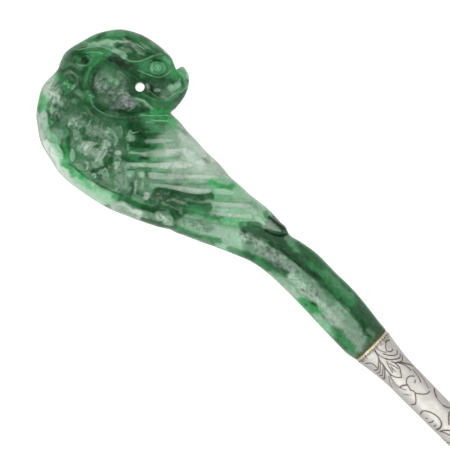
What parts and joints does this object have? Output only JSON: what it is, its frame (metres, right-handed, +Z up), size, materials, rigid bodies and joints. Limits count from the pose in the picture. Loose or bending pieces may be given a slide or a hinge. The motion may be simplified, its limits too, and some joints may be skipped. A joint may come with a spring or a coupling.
{
  "type": "binyeo hairpin",
  "caption": "Long hairpin lying on its side: a carved jade bird with a drilled hole, whose round neck is set in a hollow tapered silver shank with a rounded tip.",
  "frame": {"origin": "middle of the pin's box in plan, on the surface that it lies on", "axes": "+X along the silver shank towards its tip, +Z up from the surface through the bird's thickness, +Y towards the back of the bird's head"},
  "size_m": [0.2002, 0.0322, 0.012],
  "materials": {
    "jade": "polished mottled jadeite",
    "gilt": "worn gilding",
    "silver": "satin silver, engraved and darkened in the lines"
  },
  "bodies": {
    "root": {"bird_finial": "jade", "gilt_lip": "gilt", "silver_shank": "silver"}
  },
  "joints": []
}
